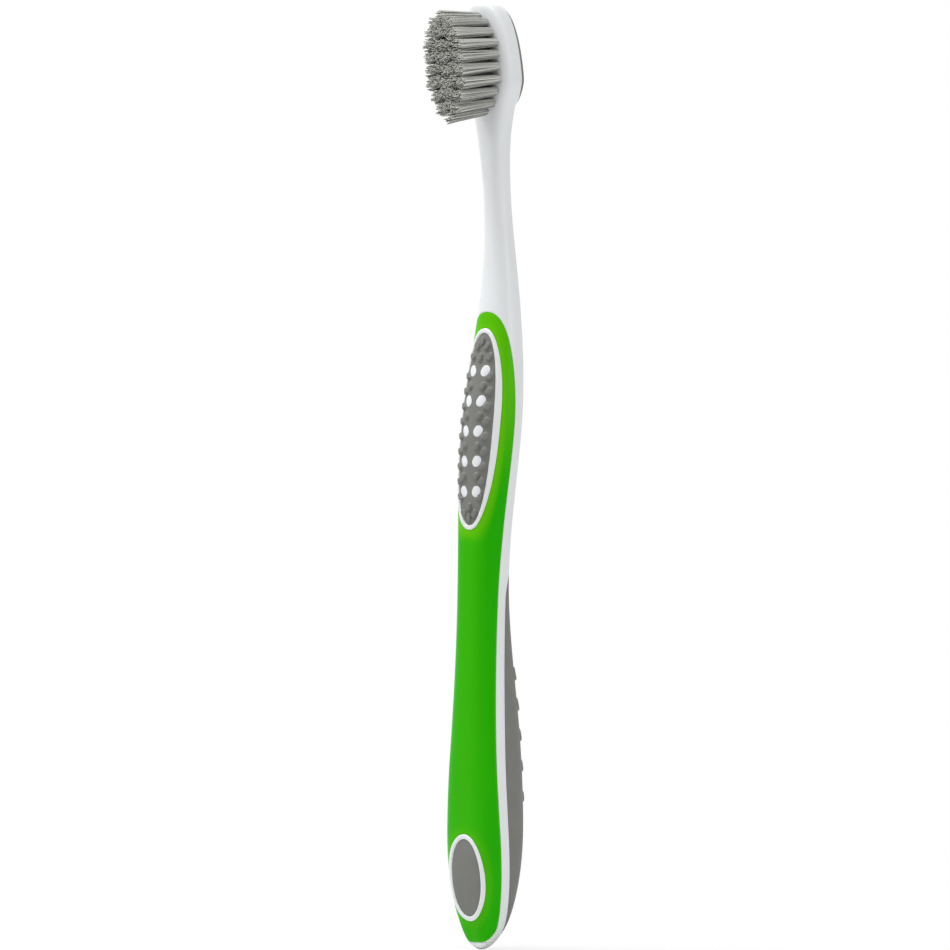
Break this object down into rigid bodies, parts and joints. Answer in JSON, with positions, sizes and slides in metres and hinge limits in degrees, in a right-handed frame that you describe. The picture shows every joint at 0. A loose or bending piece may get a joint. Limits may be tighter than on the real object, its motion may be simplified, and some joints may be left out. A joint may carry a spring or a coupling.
{
  "type": "manual toothbrush",
  "caption": "Manual toothbrush: slim curved handle with a coloured front shell, studded rubber thumb pad and back grip, tilted head with round tufts of bristles and a rubber tongue cleaner.",
  "frame": {"origin": "the tail tip at the bottom of the handle, on the plane of symmetry", "axes": "+Z along the handle towards the head, -Y the way the bristles face, +X to the right seen from the front"},
  "size_m": [0.0142, 0.0239, 0.19],
  "materials": {
    "white_plastic": "smooth satin gloss",
    "green_plastic": "high gloss",
    "grey_rubber": "matt",
    "grey_bristle": "nylon filament",
    "anchor_metal": "drawn wire"
  },
  "bodies": {
    "root": {"handle_core": "white_plastic", "front_shell": "green_plastic", "thumb_pad": "grey_rubber", "end_pad": "grey_rubber", "back_grip": "grey_rubber", "tongue_cleaner": "grey_rubber", "anchor_plates": "anchor_metal", "tuft_row_01": "grey_bristle", "tuft_row_02": "grey_bristle", "tuft_row_03": "grey_bristle", "tuft_row_04": "grey_bristle", "tuft_row_05": "grey_bristle", "tuft_row_06": "grey_bristle", "tuft_row_07": "grey_bristle", "tuft_row_08": "grey_bristle", "tuft_row_09": "grey_bristle", "tuft_row_10": "grey_bristle"}
  },
  "joints": []
}
